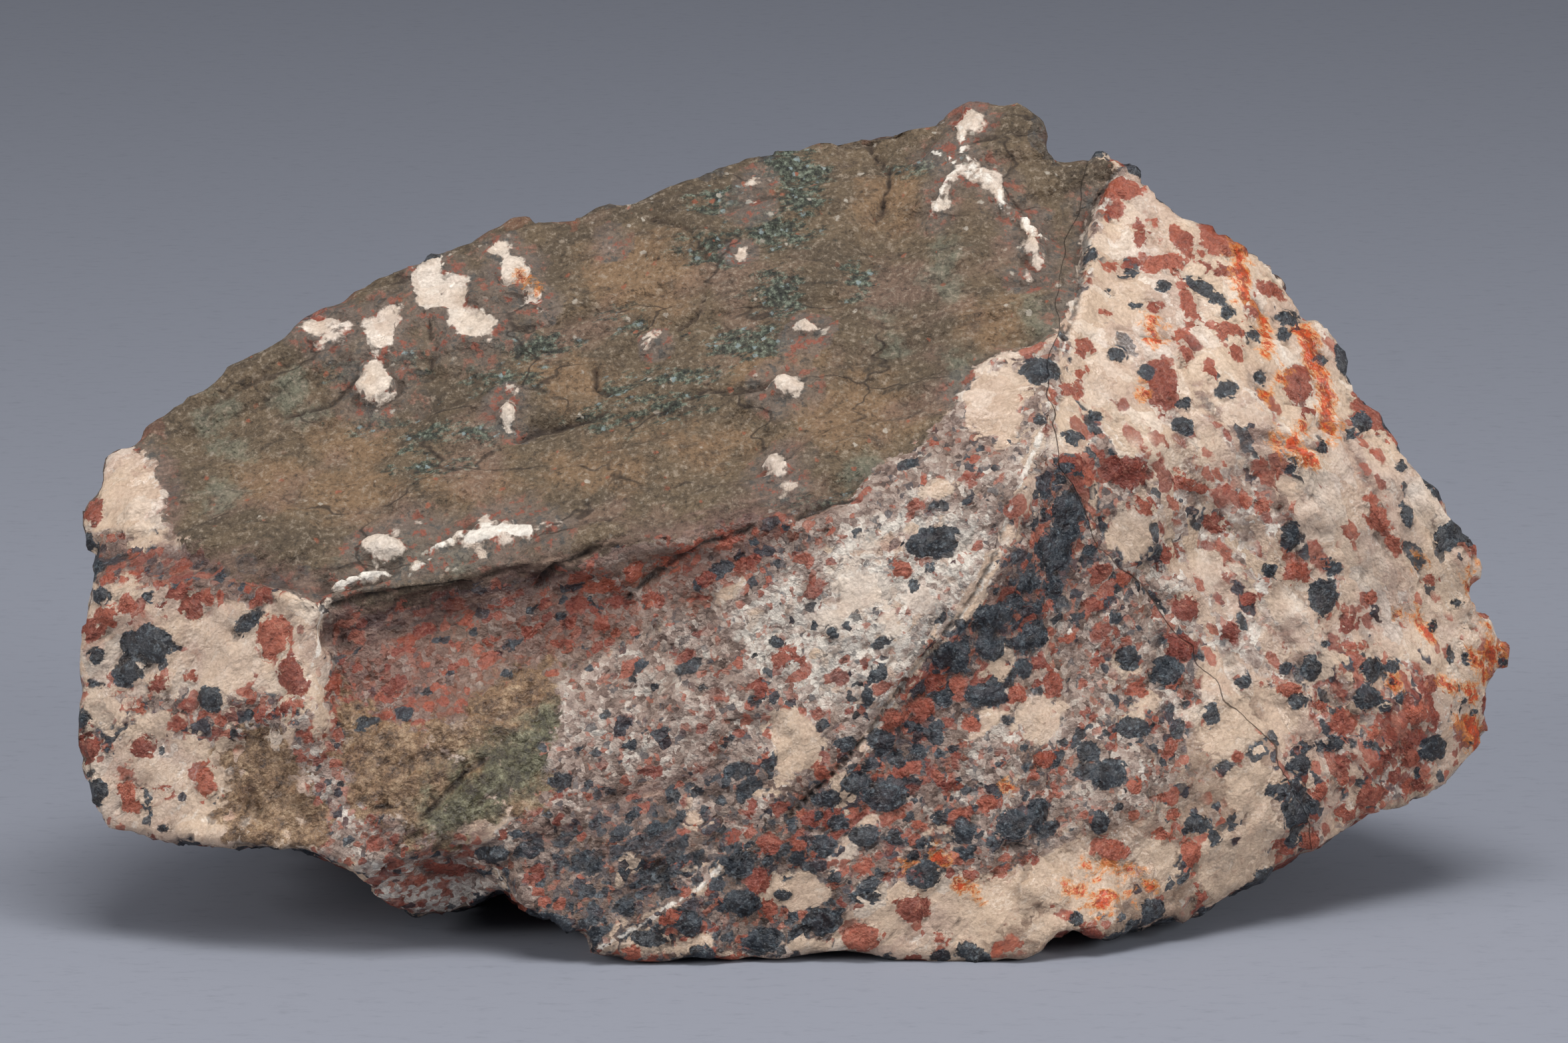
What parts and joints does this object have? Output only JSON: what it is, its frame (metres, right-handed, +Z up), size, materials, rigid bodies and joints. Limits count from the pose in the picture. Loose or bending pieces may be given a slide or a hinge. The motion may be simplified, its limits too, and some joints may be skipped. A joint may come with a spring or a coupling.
{
  "type": "magnussonite ore specimen",
  "caption": "Broken hand-sized piece of layered metal ore with a coated slip face and grainy broken faces, standing on its lower edge as a display or study stone.",
  "frame": {"origin": "Middle of the stone's box in X and Y, at the height of the flat resting spot underneath.", "axes": "+X runs along the long side of the stone, to the right when the coated slip face is seen. +Y points away from the front. +Z points up from the resting spot."},
  "size_m": [0.1176, 0.0566, 0.0647],
  "materials": {
    "ore": "rough broken stone: brown coated slip face, cream calcite with red-brown and blue-black grains"
  },
  "bodies": {
    "root": {"ore_stone": "ore"}
  },
  "joints": []
}
